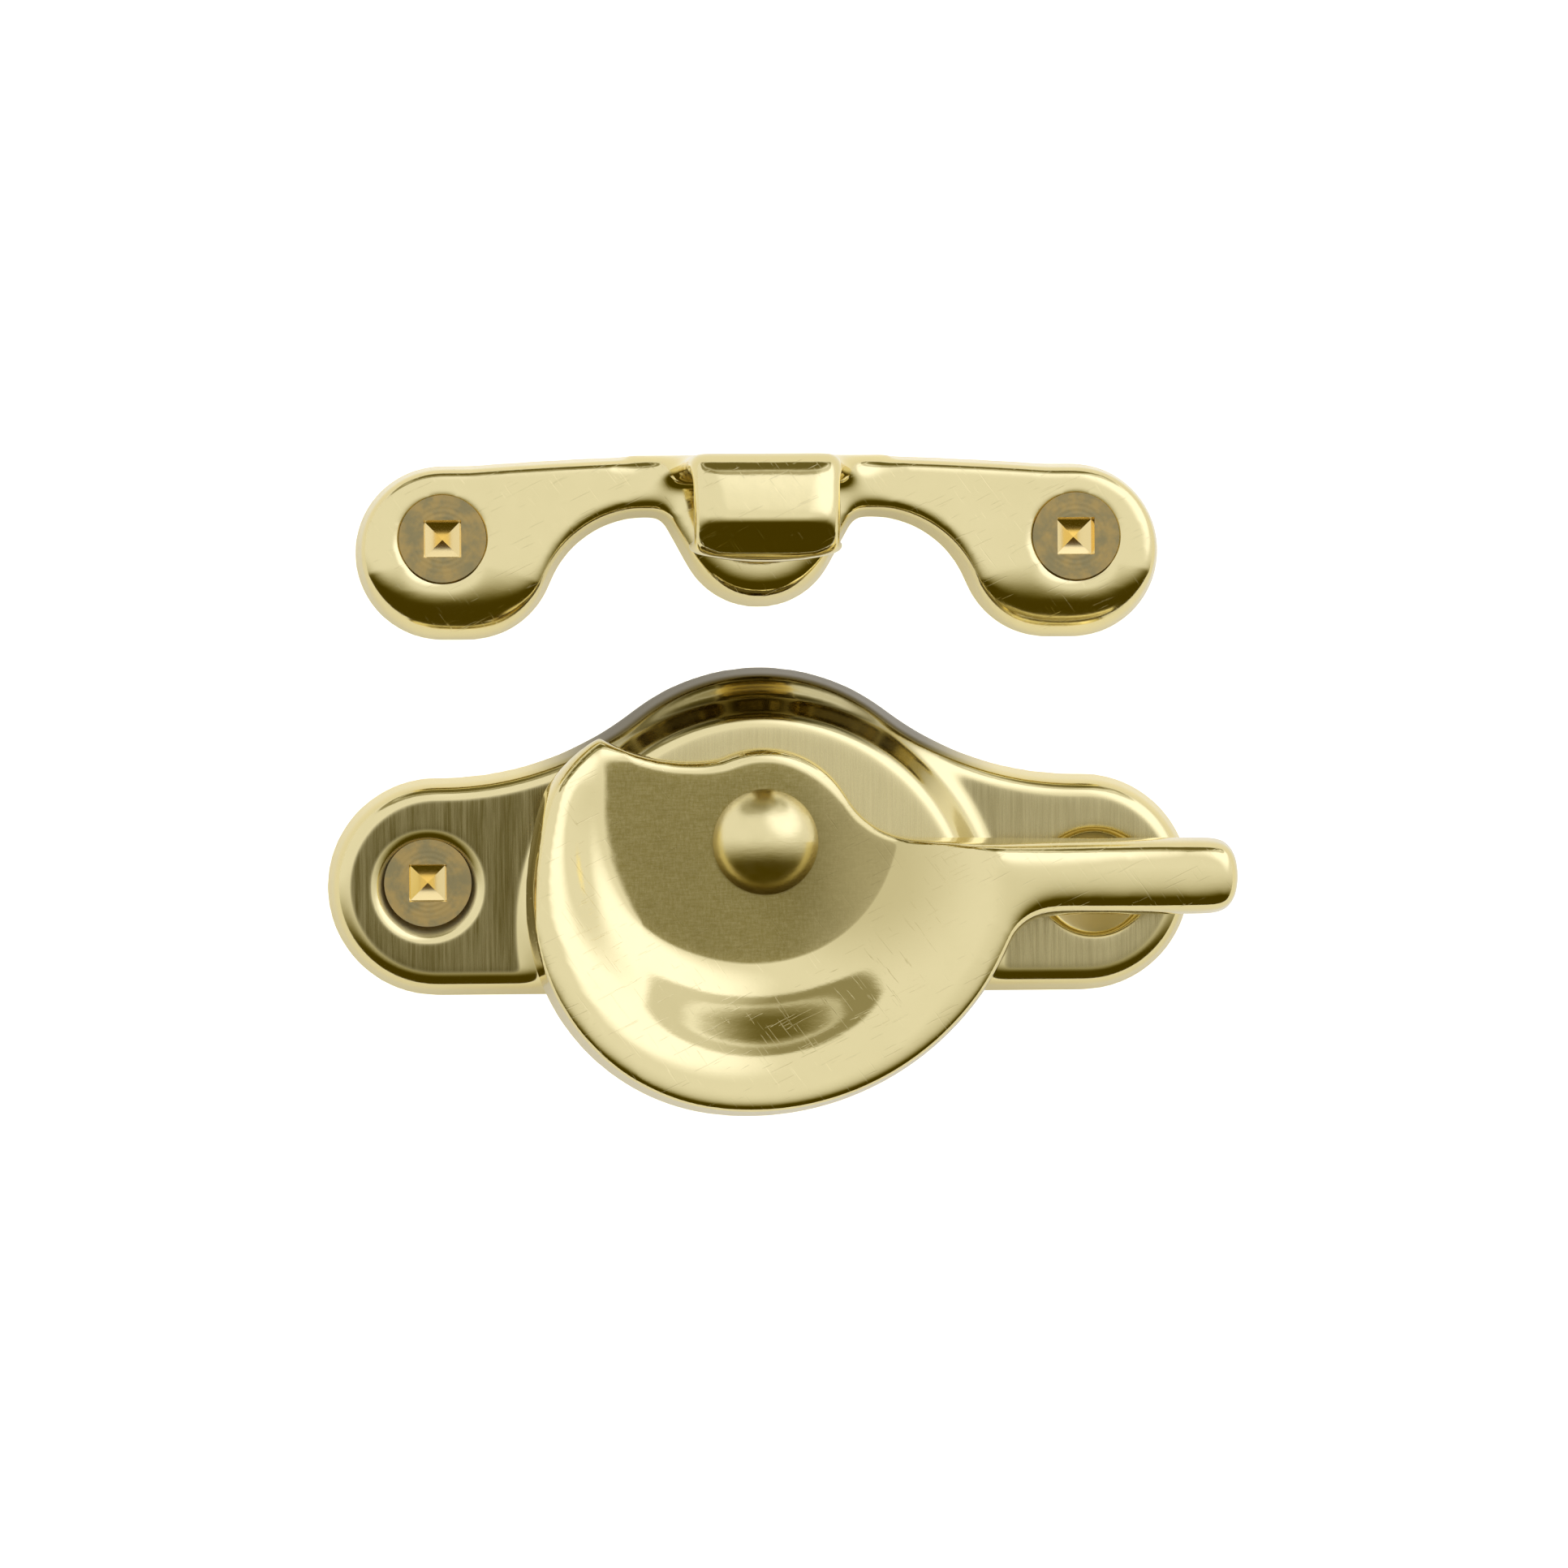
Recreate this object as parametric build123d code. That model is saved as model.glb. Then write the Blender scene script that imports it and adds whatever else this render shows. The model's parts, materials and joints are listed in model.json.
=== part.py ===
from build123d import *
import os
from math import asin, cos, degrees, radians, sin, sqrt, tan

# A fitch sash lock of polished cast brass, in millimetres.
# The lock screws to the meeting rail of the inner sash: a base casting with a round boss,
# and on the boss a cam lever that turns on a domed rivet. The cam is a dish with a raised rim.
# The keep screws to the meeting rail of the outer sash. Its nose is a hook over a throat:
# the rim of the cam runs through the throat, and the lip of the hook hangs into the dish.
# The keep stands apart from the lock, as the two castings are laid out for sale.
# Origin: the pivot axis, in the plane that sits on the wood. +Z is away from the wood,
# +Y is towards the keep, and the lever points along +X.

# Base casting
base_length = 70.0
ear_width = 17.8
ear_height = 3.6
ear_centre_y = -3.45
base_draft = 15.0
base_edge_round = 1.5
hump_radius = 16.8
hump_ledge = 4.4
hump_blend = 25.0
boss_radius = 16.7
boss_centre_y = -6.9
boss_height = 6.5
boss_draft = 38.0
boss_foot_round = 2.0
pocket_wall = 3.0
pocket_roof = 3.2
pocket_draft = 4.0
pocket_round = 0.8

# Holes for the wood screws
base_hole_inset = 8.2
base_hole_diameter = 4.2
base_sink_diameter = 8.3
sink_angle = 82.0

# Cam lever
cam_gap = 0.1
cam_floor_thickness = 2.3
cam_draft = 6.0
hub_radius = 7.6
hub_neck_round = 6.5
bulge_radius = 17.0
bulge_centre_x = -2.1
bulge_centre_y = -4.9
front_radius = 23.0
front_start_angle = -97.6
flank_radius = 28.0
flank_end_angle = 161.5
tip_x = -13.1
tip_y = 8.45
tip_bow = 0.45
tip_hollow = 0.85
tip_hollow_end_angle = 117.0
neck_round = 3.6

# Raised rim of the cam. Each station is an angle about the pivot, the radius where the slope
# leaves the floor, the radius of the crest, the height of the crest above the floor, and the
# fall of the surface outside the crest.
rim_stations = [
    (22.0, 10.8, 19.6, 4.4, 0.0),
    (-4.0, 10.3, 19.4, 4.5, 0.0),
    (-30.0, 9.7, 19.0, 4.6, 0.2),
    (-60.0, 9.4, 19.6, 4.7, 1.2),
    (-90.0, 9.5, 20.4, 4.7, 1.5),
    (-120.0, 10.3, 20.6, 4.6, 1.5),
    (-148.0, 11.8, 19.2, 4.1, 1.5),
    (-172.0, 12.9, 17.6, 3.2, 1.3),
    (-194.0, 13.9, 17.0, 2.0, 1.0),
    (-216.0, 15.2, 17.2, 0.9, 0.6),
]
rim_start_slope = 9.0
rim_handle = 0.42
rim_outer_reach = 5.0
dish_inner_radius = 4.5
rim_edge_round = 0.4

# Lever bar
lever_tip_x = 38.1
lever_top_y = 0.3
lever_width = 6.5
lever_end_bow = 0.9
lever_end_round = 1.7
lever_root_run = 3.0
lever_root_rise = 0.4
lever_waist_height = 5.4
lever_waist_x = 28.0
lever_tip_rise = 0.5
lever_edge_round = 0.9

# Rivet and washers
rivet_diameter = 5.0
rivet_head_diameter = 8.4
rivet_head_height = 2.5
rivet_head_edge = 0.3
rivet_running_gap = 0.06
rivet_tail_diameter = 6.6
rivet_tail_height = 0.9
washer_bore_gap = 0.1
spring_washer_diameter = 10.0
spring_washer_thickness = 0.35
spring_washer_height = 0.8
backing_washer_diameter = 9.0
backing_washer_thickness = 0.6

# Keep casting
keep_hole_spacing = 50.9
keep_hole_y = 24.4
keep_sink_diameter = 7.2
keep_hole_diameter = 4.0
lobe_radius = 7.1
lobe_y = 23.4
lobe_stretch = 2.1
keep_back_y = 31.35
keep_height = 4.6
keep_crest_y = 22.4
keep_back_fall = 0.085
keep_front_edge = 1.1
keep_front_y = 15.9
keep_draft = 9.0
keep_edge_round = 1.0
bay_x = 9.1
bay_top_y = 26.1
bay_corner_round = 1.3
tongue_radius = 6.6
tongue_centre_y = 25.4
tongue_flare = 28.6

# Hook of the keep
hook_draft = 5.0
hook_top_half_width = 5.8
hook_shoulder_round = 1.8
hook_root_round = 3.6
hook_root_sink = 1.2
hook_front_y = 22.1
hook_corner_x = 5.9
hook_corner_y = 22.9
hook_corner_round = 2.0
crown_height = 16.6
crown_y = 25.1
crown_front_fall = 0.36
hook_saddle_height = 15.5
hook_saddle_y = 28.8
hook_back_draft = 2.0
hook_back_inset = 0.15
hook_back_round = 2.6
hook_back_edge_round = 1.2
lip_height = 12.8
lip_bottom = 11.6
lip_thickness = 1.6
throat_roof = 13.9
throat_depth_y = 29.0
throat_round = 0.9
lip_edge_round = 0.4

# Wood screws
screw_head_diameter = 7.0
screw_shank_diameter = 3.5
screw_length = 19.0
screw_point_length = 4.5
drive_width = 3.0
drive_depth = 1.7
drive_draft = 4.0
drive_point = 0.6
screw_head_rim = 0.15
screw_lean = 0.3
head_recess = 0.1
seat_gap = 0.02

# Places worked out from the sizes above
ear_top_y = ear_centre_y + ear_width / 2
ear_bottom_y = ear_centre_y - ear_width / 2
hump_centre_y = boss_centre_y + boss_radius + hump_ledge - hump_radius
base_hole_x = base_length / 2 - base_hole_inset
cam_bottom = boss_height + cam_gap
cam_floor = cam_bottom + cam_floor_thickness
cam_top = cam_floor + max(station[3] for station in rim_stations)
lever_bottom_y = lever_top_y - lever_width
rivet_seat = cam_floor + rivet_running_gap
spring_washer_bottom = pocket_roof - spring_washer_height
backing_washer_bottom = spring_washer_bottom - backing_washer_thickness
half_sink_angle = sink_angle / 2
overcut = 1.0


def on_circle(x, y, radius, angle):
    """The point at an angle in degrees on a circle about (x, y)."""
    return (x + radius * cos(radians(angle)), y + radius * sin(radians(angle)))


def cylinder_between(x, y, low, high, radius):
    """An upright cylinder from one height to another."""
    return Pos(x, y, (low + high) / 2) * Cylinder(radius, high - low)


def cone_between(x, y, low, high, low_radius, high_radius):
    """An upright cone from one height to another."""
    return Pos(x, y, (low + high) / 2) * Cone(low_radius, high_radius, high - low)


def countersunk_hole(x, y, rim_height, hole_diameter, sink_diameter):
    """The space of a clearance hole with its countersink, open upwards from the rim."""
    sink_depth = (sink_diameter - hole_diameter) / 2 / tan(radians(half_sink_angle))
    hole = cylinder_between(x, y, -overcut, rim_height, hole_diameter / 2)
    sink = cone_between(x, y, rim_height - sink_depth, rim_height, hole_diameter / 2, sink_diameter / 2)
    above = cylinder_between(x, y, rim_height, rim_height + ear_height, sink_diameter / 2)
    return hole + sink + above


def drafted(outline, height, angle):
    """An outline raised to a height, with every wall leaning inwards by the same draft."""
    block = extrude(outline, height)
    walls = [face for face in block.faces() if abs(face.normal_at().Z) < 0.5]
    return draft(walls, Plane.XY, angle)


def edges_at_height(shape, height):
    """The edges that lie flat at one height."""
    found = []
    for edge in shape.edges():
        box = edge.bounding_box()
        if abs(box.min.Z - height) < 1e-4 and abs(box.max.Z - height) < 1e-4:
            found.append(edge)
    return found


def top_edges(shape, lowest):
    """The edges above a height where an upright wall meets a flatter face."""
    found = []
    for edge in shape.edges():
        if edge.bounding_box().min.Z < lowest:
            continue
        sides = [face for face in shape.faces() if any(edge.is_same(other) for other in face.edges())]
        steep = [face for face in sides if abs(face.normal_at(edge @ 0.5).Z) < 0.3]
        if len(sides) == 2 and len(steep) == 1:
            found.append(edge)
    return found


def base_outline():
    """Two round-ended ears with a bell-shaped hump between them on the keep's side."""
    ears = Pos(0, ear_centre_y) * SlotOverall(base_length, ear_width)
    hump = Pos(0, hump_centre_y) * Circle(hump_radius)
    below = Pos(0, ear_bottom_y - hump_radius) * Rectangle(base_length, 2 * hump_radius)
    outline = ears + (hump - below)
    straight_end = (base_length - ear_width) / 2
    hump_rise = ear_top_y - hump_centre_y
    room = (straight_end**2 - hump_radius**2 + hump_rise**2) / (2 * (hump_radius - hump_rise))
    corners = [v for v in outline.vertices() if abs(v.Y - ear_top_y) < 1e-4 and abs(v.X) < hump_radius]
    return fillet(corners, min(hump_blend, 0.95 * room))


def space_round_boss():
    """What is cut away above the ears, which leaves the round boss with its hollow foot."""
    lean = tan(radians(boss_draft))
    foot_radius = boss_radius + (boss_height - ear_height) * lean
    top_radius = boss_radius - overcut * lean
    top = boss_height + overcut
    space = Polyline(
        (foot_radius, ear_height),
        (base_length, ear_height),
        (base_length, top),
        (top_radius, top),
        close=True,
    )
    profile = make_face(space)
    foot = [v for v in profile.vertices() if abs(v.X - foot_radius) < 1e-4]
    profile = fillet(foot, boss_foot_round)
    return Pos(0, boss_centre_y) * revolve(Plane.XZ * profile, Axis.Z)


def boss_top_edges(shape):
    """The round edge of the flat top of the boss."""
    found = []
    for edge in edges_at_height(shape, boss_height):
        middle = edge @ 0.5
        if abs(sqrt(middle.X**2 + (middle.Y - boss_centre_y) ** 2) - boss_radius) < 1e-3:
            found.append(edge)
    return found


def base_pocket():
    """The hollow under the boss that holds the washers and the tail of the rivet."""
    disc = Pos(0, hump_centre_y) * Circle(hump_radius - pocket_wall)
    side = ear_bottom_y + pocket_wall
    below = Pos(0, side - hump_radius) * Rectangle(base_length, 2 * hump_radius)
    pocket = drafted(disc - below, pocket_roof, pocket_draft)
    return fillet(edges_at_height(pocket, pocket_roof), pocket_round)


def lock_base():
    """The base casting with its boss, pocket, rivet bore and two screw holes."""
    body = drafted(base_outline(), boss_height, base_draft) - space_round_boss()
    body = fillet(top_edges(body, ear_height / 2) + boss_top_edges(body), base_edge_round)
    body -= base_pocket()
    body -= cylinder_between(0, 0, 0, boss_height + overcut, rivet_diameter / 2)
    for side in (-1, 1):
        hole_x = side * base_hole_x
        body -= countersunk_hole(hole_x, ear_centre_y, ear_height, base_hole_diameter, base_sink_diameter)
    return body


def cam_disc():
    """The outline of the cam: three arcs round the back, a pointed tip and a round hub."""
    flank_x = bulge_centre_x + flank_radius - bulge_radius
    step = front_radius - bulge_radius
    front_x, front_y = on_circle(bulge_centre_x, bulge_centre_y, -step, front_start_angle)
    flank_end = on_circle(flank_x, bulge_centre_y, flank_radius, flank_end_angle)
    front_end = on_circle(front_x, front_y, front_radius, -10)
    tip = (tip_x, tip_y)
    hub_start = on_circle(0, 0, hub_radius, 0)
    hub_end = on_circle(0, 0, hub_radius, tip_hollow_end_angle)
    edges = [
        CenterArc((flank_x, bulge_centre_y), flank_radius, flank_end_angle, 180 - flank_end_angle),
        CenterArc((bulge_centre_x, bulge_centre_y), bulge_radius, 180, 180 + front_start_angle),
        CenterArc((front_x, front_y), front_radius, front_start_angle, -10 - front_start_angle),
        Line(front_end, hub_start),
        CenterArc((0, 0), hub_radius, 0, tip_hollow_end_angle),
        SagittaArc(hub_end, tip, tip_hollow),
        SagittaArc(tip, flank_end, -tip_bow),
    ]
    return make_face(edges)


def lever_outline():
    """The bar of the lever, with a bowed end."""
    end_middle = (lever_tip_x, (lever_top_y + lever_bottom_y) / 2)
    end_top = (lever_tip_x - lever_end_bow, lever_top_y)
    end_bottom = (lever_tip_x - lever_end_bow, lever_bottom_y)
    edges = [
        Line((0, lever_top_y), end_top),
        ThreePointArc(end_top, end_middle, end_bottom),
        Line(end_bottom, (0, lever_bottom_y)),
        Line((0, lever_bottom_y), (0, lever_top_y)),
    ]
    bar = make_face(edges)
    corners = [v for v in bar.vertices() if v.X > lever_tip_x / 2]
    return fillet(corners, lever_end_round)


def cam_outline():
    """The cam and its lever as one outline, with the necks rounded."""
    outline = cam_disc() + lever_outline()
    neck = [v for v in outline.vertices() if abs(v.Y - lever_bottom_y) < 1e-4 and v.X < lever_waist_x]
    outline = fillet(neck, neck_round)
    hub = [v for v in outline.vertices() if abs(v.Y - lever_top_y) < 1e-4 and v.X < lever_waist_x]
    return fillet(hub, hub_neck_round)


def rim_section(angle, floor_radius, crest_radius, crest_height, outer_fall):
    """The space over the dish in one upright plane through the pivot."""
    plane = Plane(
        origin=(0, 0, 0),
        x_dir=(cos(radians(angle)), sin(radians(angle)), 0),
        z_dir=(sin(radians(angle)), -cos(radians(angle)), 0),
    )
    sky = cam_top + 3 * overcut
    crest = cam_floor + crest_height
    inner = (dish_inner_radius, cam_floor)
    foot = (floor_radius, cam_floor)
    top = (crest_radius, crest)
    outer = (crest_radius + rim_outer_reach, crest - outer_fall)
    handle = rim_handle * (crest_radius - floor_radius)
    leave = (floor_radius + handle, cam_floor + handle * tan(radians(rim_start_slope)))
    arrive = (crest_radius - handle, crest)
    edges = [
        Line(inner, foot),
        Bezier(foot, leave, arrive, top),
        Spline(top, outer, tangents=[(1, 0), (1, -2 * outer_fall / rim_outer_reach)]),
        Line(outer, (outer[0], sky)),
        Line((outer[0], sky), (dish_inner_radius, sky)),
        Line((dish_inner_radius, sky), inner),
    ]
    return plane * make_face(edges)


def dish_space():
    """The space over the dish: the swept slope inside the rim, and the flat floor round the hub."""
    sections = []
    for station in rim_stations:
        sections.append(rim_section(*station))
    slope = loft(sections)
    sky = cam_top + 3 * overcut
    floor = cylinder_between(0, 0, cam_floor, sky, dish_inner_radius + overcut)
    first_angle = rim_stations[0][0]
    last_angle = rim_stations[-1][0] + 360
    reach = 2 * front_radius
    open_side = [(0, 0)]
    for share in (0, 0.5, 1):
        open_side.append(on_circle(0, 0, reach, first_angle - 2 + share * (last_angle + 4 - first_angle)))
    mouth = Pos(0, 0, cam_floor) * extrude(make_face(Polyline(*open_side, close=True)), sky - cam_floor)
    return slope + floor + mouth


def lever_top_space():
    """The space above the top of the lever bar, which dips at the waist and rises to the tip."""
    sky = cam_top + 3 * overcut
    waist = cam_bottom + lever_waist_height
    root_x = rim_stations[1][2] - lever_root_run
    root_height = cam_floor + rim_stations[1][3] + lever_root_rise
    root = (root_x, root_height)
    tip = (lever_tip_x + overcut, waist + lever_tip_rise)
    edges = [
        ThreePointArc(root, (lever_waist_x, waist), tip),
        Line(tip, (tip[0], sky)),
        Line((tip[0], sky), (root_x, sky)),
        Line((root_x, sky), root),
    ]
    profile = Plane.XZ * make_face(edges)
    return extrude(profile, front_radius, both=True)


def cam_lever():
    """The cam casting: drafted outline, dished top, lever bar and rivet bore."""
    body = Pos(0, 0, cam_bottom) * drafted(cam_outline(), cam_top - cam_bottom, cam_draft)
    body -= dish_space()
    body -= lever_top_space()
    lever_start = lever_waist_x - lever_width / 2
    lever_edges = [edge for edge in top_edges(body, cam_floor + 0.01) if (edge @ 0.5).X > lever_start]
    body = fillet(lever_edges, lever_edge_round)
    rim_edges = []
    for edge in top_edges(body, cam_floor + 0.01):
        middle = edge @ 0.5
        if middle.X < lever_start and sqrt(middle.X**2 + middle.Y**2) > 0.6 * front_radius:
            rim_edges.append(edge)
    body = fillet(rim_edges, rim_edge_round)
    body -= cylinder_between(0, 0, 0, cam_top, rivet_diameter / 2 + rivet_running_gap)
    return body


def pivot_rivet():
    """The rivet: domed head in the dish, straight shank, and a tail peened over the washer."""
    shank = rivet_diameter / 2
    head = rivet_head_diameter / 2
    tail = rivet_tail_diameter / 2
    tail_top = backing_washer_bottom
    tail_bottom = tail_top - rivet_tail_height
    head_edge = rivet_seat + rivet_head_edge
    head_top = rivet_seat + rivet_head_height
    dome_height = head_top - head_edge
    dome_radius = (head**2 + dome_height**2) / (2 * dome_height)
    dome_angle = degrees(asin(head / dome_radius))
    edges = [
        Line((0, tail_bottom), (tail * 0.6, tail_bottom)),
        ThreePointArc(
            (tail * 0.6, tail_bottom),
            (tail * 0.9, tail_bottom + rivet_tail_height * 0.35),
            (tail, tail_top),
        ),
        Line((tail, tail_top), (shank, tail_top)),
        Line((shank, tail_top), (shank, rivet_seat)),
        Line((shank, rivet_seat), (head, rivet_seat)),
        Line((head, rivet_seat), (head, head_edge)),
        CenterArc((0, head_top - dome_radius), dome_radius, 90 - dome_angle, dome_angle),
        Line((0, head_top), (0, tail_bottom)),
    ]
    return revolve(Plane.XZ * make_face(edges), Axis.Z)


def spring_washer():
    """A dished spring washer, its narrow end up against the roof of the pocket."""
    inner = rivet_diameter / 2 + washer_bore_gap
    outer = spring_washer_diameter / 2
    top = pocket_roof - seat_gap
    bottom = spring_washer_bottom + seat_gap
    profile = Polyline(
        (inner, top),
        (inner, top - spring_washer_thickness),
        (outer, bottom),
        (outer, bottom + spring_washer_thickness),
        close=True,
    )
    return revolve(Plane.XZ * make_face(profile), Axis.Z)


def backing_washer():
    """The flat washer that the rivet is peened against."""
    ring = cylinder_between(0, 0, backing_washer_bottom, spring_washer_bottom, backing_washer_diameter / 2)
    bore = cylinder_between(0, 0, 0, pocket_roof, rivet_diameter / 2 + washer_bore_gap)
    return ring - bore


def keep_outline():
    """The outline of the keep: two lobes, an arched bay each side, and a tongue in the middle."""
    lobe_x = keep_hole_spacing / 2
    inner_x = lobe_x - lobe_stretch
    reach = inner_x - bay_x
    rise = bay_top_y - lobe_y
    bay_radius = (reach**2 + rise**2 - lobe_radius**2) / (2 * (lobe_radius + rise))
    bay_y = bay_top_y - bay_radius
    lobe_top = lobe_y + lobe_radius
    edges = [
        ThreePointArc((-inner_x, lobe_top), (0, keep_back_y), (inner_x, lobe_top)),
        Polyline(
            (inner_x, lobe_top),
            (inner_x, lobe_y),
            (bay_x, bay_y),
            (bay_x, bay_top_y),
            (-bay_x, bay_top_y),
            (-bay_x, bay_y),
            (-inner_x, lobe_y),
            (-inner_x, lobe_top),
        ),
    ]
    outline = make_face(edges)
    for side in (-1, 1):
        lobe = SlotCenterToCenter(lobe_stretch, 2 * lobe_radius)
        outline += Pos(side * (lobe_x + inner_x) / 2, lobe_y) * lobe
        outline -= Pos(side * bay_x, bay_y) * Circle(bay_radius)
    outline += tongue_outline()
    corners = [v for v in outline.vertices() if abs(v.Y - bay_top_y) < 1e-4 and abs(v.X) < bay_x - 0.1]
    return fillet(corners, bay_corner_round)


def tongue_outline():
    """The round tongue under the hook, with sides that flare towards the arms."""
    touch = on_circle(0, tongue_centre_y, tongue_radius, -tongue_flare)
    top_y = (bay_top_y + keep_back_y) / 2
    top_x = touch[0] + (top_y - touch[1]) * tan(radians(tongue_flare))
    flare = Polyline(touch, (top_x, top_y), (-top_x, top_y), (-touch[0], touch[1]), close=True)
    above = Pos(0, tongue_centre_y + tongue_radius) * Rectangle(2 * tongue_radius, 2 * tongue_radius)
    return Pos(0, tongue_centre_y) * Circle(tongue_radius) - above + make_face(flare)


def keep_plate():
    """The plate of the keep, highest along its front and rolled down to the front edge."""
    slab = drafted(keep_outline(), keep_height + overcut, keep_draft)
    back_y = keep_back_y + overcut
    back_height = keep_height - (back_y - keep_crest_y) * keep_back_fall
    edges = [
        Line((keep_front_y, -overcut), (keep_front_y, keep_front_edge)),
        Spline(
            (keep_front_y, keep_front_edge),
            (keep_crest_y, keep_height),
            tangents=[(0.35, 1), (1, -keep_back_fall)],
        ),
        Line((keep_crest_y, keep_height), (back_y, back_height)),
        Line((back_y, back_height), (back_y, -overcut)),
        Line((back_y, -overcut), (keep_front_y, -overcut)),
    ]
    plate = slab & extrude(Plane.YZ * make_face(edges), keep_hole_spacing, both=True)
    return fillet(top_edges(plate, keep_front_edge), keep_edge_round)


def hook_outline():
    """The hook seen from above: a bowed front with round corners, open wide towards the back."""
    back_y = keep_back_y + overcut
    back_x = hook_corner_x + back_y - hook_corner_y
    left = (-hook_corner_x, hook_corner_y)
    right = (hook_corner_x, hook_corner_y)
    edges = [
        ThreePointArc(left, (0, hook_front_y), right),
        Polyline(right, (back_x, back_y), (-back_x, back_y), left),
    ]
    outline = make_face(edges)
    corners = [v for v in outline.vertices() if abs(v.Y - hook_corner_y) < 1e-4]
    return fillet(corners, hook_corner_round)


def hook_front():
    """The hook seen from the front: leaning sides, round shoulders, and roots that flare into the arms."""
    root_z = keep_height - hook_root_sink
    foot_x = hook_top_half_width + (crown_height - root_z) * tan(radians(hook_draft))
    reach = foot_x + hook_root_round
    half = [
        (reach, 0),
        (reach, root_z),
        (foot_x, root_z),
        (hook_top_half_width, crown_height),
    ]
    other_half = [(-x, z) for x, z in reversed(half)]
    profile = make_face(Polyline(*half, *other_half, close=True))
    shoulders = [v for v in profile.vertices() if abs(v.Y - crown_height) < 1e-4]
    profile = fillet(shoulders, hook_shoulder_round)
    roots = [v for v in profile.vertices() if abs(v.Y - root_z) < 1e-4 and abs(v.X) < reach - 1e-4]
    return fillet(roots, hook_root_round)


def hook_profile():
    """The hook seen from the side: back wall, saddle, crown, rolled front, lip and throat."""
    top_drop = tan(radians(hook_back_draft))
    wall_top = hook_saddle_height - hook_back_round
    back_foot_y = keep_back_y - hook_back_inset
    back_top_y = back_foot_y - wall_top * top_drop
    lip_back_y = hook_front_y + lip_thickness
    roof_y = lip_back_y + 0.4
    edges = [
        Line((back_foot_y, 0), (back_top_y, wall_top)),
        Spline(
            (back_top_y, wall_top),
            (hook_saddle_y, hook_saddle_height),
            (crown_y, crown_height),
            tangents=[(-top_drop, 1), (-1, 0.32)],
        ),
        Spline(
            (crown_y, crown_height),
            (hook_front_y, lip_height),
            tangents=[(-1, -crown_front_fall), (-0.12, -1)],
        ),
        Polyline(
            (hook_front_y, lip_height),
            (hook_front_y, lip_bottom),
            (lip_back_y, lip_bottom),
            (roof_y, throat_roof),
            (throat_depth_y, throat_roof),
            (throat_depth_y, 0),
            (back_foot_y, 0),
        ),
    ]
    profile = make_face(edges)
    inner = [v for v in profile.vertices() if abs(v.Y - throat_roof) < 1e-4]
    profile = fillet(inner, throat_round)
    lip = [v for v in profile.vertices() if abs(v.Y - lip_bottom) < 1e-4]
    return fillet(lip, lip_edge_round)


def back_corner_edges(form):
    """The edges of the hook's back wall where two faces meet at a corner."""
    found = []
    for edge in form.edges():
        middle = edge @ 0.5
        if middle.Z < keep_height / 2 or middle.Y < (throat_depth_y + keep_back_y) / 2:
            continue
        sides = [face for face in form.faces() if any(edge.is_same(other) for other in face.edges())]
        normals = [face.normal_at(middle) for face in sides]
        if len(sides) == 2 and normals[0].get_angle(normals[1]) > 20:
            found.append(edge)
    return found


def hook():
    """The hook: its side form, cut to its forms from the front and from above."""
    side_form = extrude(Plane.YZ * hook_profile(), 2 * hook_corner_x, both=True)
    front_form = extrude(Plane.XZ * hook_front(), 2 * keep_back_y, both=True)
    outline = extrude(hook_outline(), crown_height + overcut)
    form = side_form & front_form & outline
    return fillet(back_corner_edges(form), hook_back_edge_round)


def keep():
    """The keep casting with its hook and its two screw holes."""
    body = keep_plate() + hook()
    for side in (-1, 1):
        hole_x = side * keep_hole_spacing / 2
        body -= countersunk_hole(hole_x, keep_hole_y, keep_rim_height(), keep_hole_diameter, keep_sink_diameter)
    return body


def keep_rim_height():
    """The height of the countersinks' rims in the plate of the keep."""
    return keep_height - (keep_hole_y - keep_crest_y) * keep_back_fall - head_recess


def wood_screw(x, y, head_top):
    """A countersunk wood screw with a square drive, point down."""
    head = screw_head_diameter / 2
    shank = screw_shank_diameter / 2
    rim = head_top - screw_head_rim
    cone_depth = (head - shank) / tan(radians(half_sink_angle))
    neck = rim - cone_depth
    point = head_top - screw_length
    shank_end = point + screw_point_length
    profile = Polyline(
        (0, point),
        (shank, shank_end),
        (shank, neck),
        (head, rim),
        (head, head_top),
        (0, head_top),
        close=True,
    )
    body = revolve(Plane.XZ * make_face(profile), Axis.Z)
    mouth = Plane.XY.offset(head_top) * Rectangle(drive_width, drive_width)
    socket = extrude(mouth, -drive_depth, taper=drive_draft)
    floor_width = drive_width - 2 * drive_depth * tan(radians(drive_draft))
    floor = Plane.XY.offset(head_top - drive_depth) * Rectangle(floor_width, floor_width)
    bottom = loft([floor.face(), Vertex(0, 0, head_top - drive_depth - drive_point)])
    return Pos(x, y, 0) * (body - socket - bottom)


def seated_head_top(rim_height, sink_diameter, lean):
    """The height of a screw head whose cone meets the countersink, leaning to one side."""
    spare = (sink_diameter - screw_head_diameter) / 2 - lean - seat_gap
    return rim_height - spare / tan(radians(half_sink_angle)) + screw_head_rim


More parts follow.
